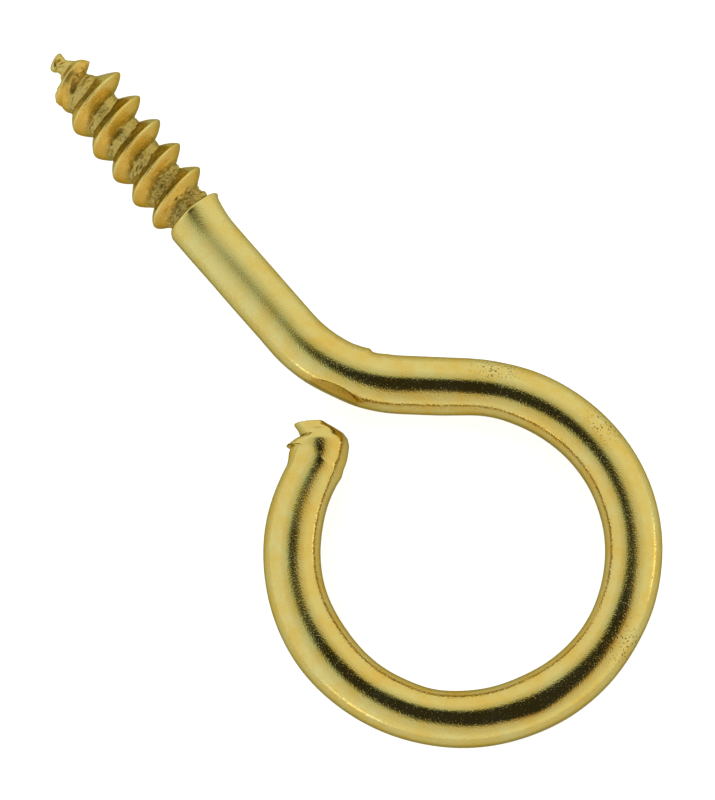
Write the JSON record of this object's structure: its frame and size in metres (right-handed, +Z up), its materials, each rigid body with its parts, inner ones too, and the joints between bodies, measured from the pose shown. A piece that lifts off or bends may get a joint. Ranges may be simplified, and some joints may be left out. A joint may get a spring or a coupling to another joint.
{
  "type": "screw eye",
  "caption": "Open wire eye on a cranked shank with a coarse wood-screw thread and a pointed tip, to screw into timber by hand.",
  "frame": {"origin": "centre of the eye, in the middle plane of the wire", "axes": "+X along the shank to the point, +Z up through the eye, which lies flat; the shank's own line is 0.68 mm to the -Y side of the origin"},
  "size_m": [0.0362, 0.0166, 0.0032],
  "materials": {
    "brassed_steel": "steel wire electroplated with bright brass, yellow with paler and greener blotches, duller in the thread's root"
  },
  "bodies": {
    "root": {"screw_eye": "brassed_steel"}
  },
  "joints": []
}
